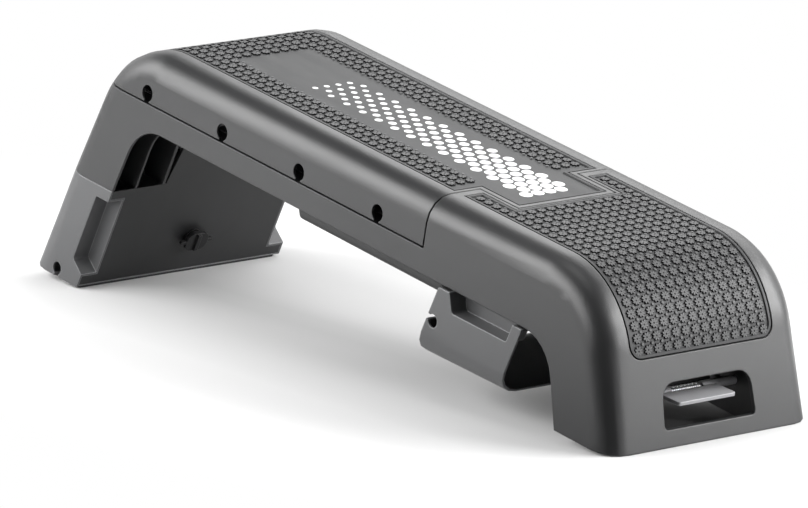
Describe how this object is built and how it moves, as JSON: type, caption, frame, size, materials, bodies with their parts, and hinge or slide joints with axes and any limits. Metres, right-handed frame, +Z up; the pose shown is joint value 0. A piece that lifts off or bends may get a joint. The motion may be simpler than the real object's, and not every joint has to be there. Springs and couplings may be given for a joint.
{
  "type": "aerobic step",
  "caption": "Moulded exercise step with a lifting back section on a wire prop, rubber mats, hand holes and a fold-out leg at each end, one unfolded so that the deck slopes.",
  "frame": {"origin": "middle of the bounding box's underside, on the floor", "axes": "+X along the step towards its low end, +Y across it, +Z up"},
  "size_m": [1.1862, 0.343, 0.3423],
  "materials": {
    "deck_plastic": "dark grey satin moulding",
    "leg_plastic": "mid grey satin moulding",
    "panel_plastic": "darker grey moulding",
    "black_plastic": "black satin",
    "mat_rubber": "dark grey moulded rubber",
    "foot_rubber": "black rubber",
    "rod_steel": "bright drawn steel"
  },
  "bodies": {
    "deck": {"belly_tray": "panel_plastic", "chassis": "deck_plastic", "far_pad_1": "foot_rubber", "far_pad_2": "foot_rubber", "far_paddle_rod": "rod_steel", "far_paddle_spring": "rod_steel", "far_pivot_rod": "rod_steel", "hinge_rod": "rod_steel", "near_pad_1": "foot_rubber", "near_pad_2": "foot_rubber", "near_paddle_rod": "rod_steel", "near_paddle_spring": "rod_steel", "near_pivot_rod": "rod_steel", "seat_mat": "mat_rubber", "tray_screw_1": "rod_steel", "tray_screw_2": "rod_steel", "tray_screw_3": "rod_steel", "tray_screw_4": "rod_steel"},
    "backrest": {"backrest_shell": "deck_plastic", "backrest_mat": "mat_rubber"},
    "prop": {"backrest_prop": "rod_steel"},
    "near_leg": {"near_leg_shell": "leg_plastic", "near_leg_panel": "panel_plastic", "near_leg_strip": "foot_rubber"},
    "near_knob": {"near_leg_knob": "black_plastic"},
    "near_paddle": {"near_paddle": "black_plastic"},
    "far_leg": {"far_leg_shell": "leg_plastic", "far_leg_panel": "panel_plastic", "far_leg_strip": "foot_rubber"},
    "far_knob": {"far_leg_knob": "black_plastic"},
    "far_paddle": {"far_paddle": "black_plastic"}
  },
  "joints": [
    {"name": "near_leg_fold", "type": "hinge", "parent": "deck", "child": "near_leg", "pos_m": [0.49739, 0, 0.09548], "axis": [0, 1, 0], "range_deg": [-109.03, 0]},
    {"name": "near_knob_turn", "type": "hinge", "parent": "near_leg", "child": "near_knob", "pos_m": [0.32321, 0, 0.1435], "axis": [0.1431, 0, 0.9897], "range_deg": [0, 90]},
    {"name": "near_paddle_lift", "type": "hinge", "parent": "deck", "child": "near_paddle", "pos_m": [0.53777, 0, 0.05418], "axis": [0, -1, 0], "range_deg": [0, 25], "stiffness_Nm_per_rad": 0.3, "springref_deg": -20.05},
    {"name": "far_leg_fold", "type": "hinge", "parent": "deck", "child": "far_leg", "pos_m": [-0.40207, 0, 0.22556], "axis": [0, -1, 0], "range_deg": [0, 109.03]},
    {"name": "far_knob_turn", "type": "hinge", "parent": "far_leg", "child": "far_knob", "pos_m": [-0.4641, 0, 0.05586], "axis": [0.8889, 0, -0.4581], "range_deg": [0, 90]},
    {"name": "far_paddle_lift", "type": "hinge", "parent": "deck", "child": "far_paddle", "pos_m": [-0.4525, 0, 0.19739], "axis": [0, 1, 0], "range_deg": [0, 25], "stiffness_Nm_per_rad": 0.3, "springref_deg": -20.05},
    {"name": "backrest_hinge", "type": "hinge", "parent": "deck", "child": "backrest", "pos_m": [0.28021, 0, 0.24369], "axis": [0, 1, 0], "range_deg": [0, 75]},
    {"name": "prop_hinge", "type": "hinge", "parent": "backrest", "child": "prop", "pos_m": [0.08141, 0, 0.26637], "axis": [0, 1, 0], "range_deg": [-134.5, 0]}
  ],
  "couplings": [
    {"joint": "prop_hinge", "follows": "backrest_hinge", "ratio": -1.79}
  ]
}
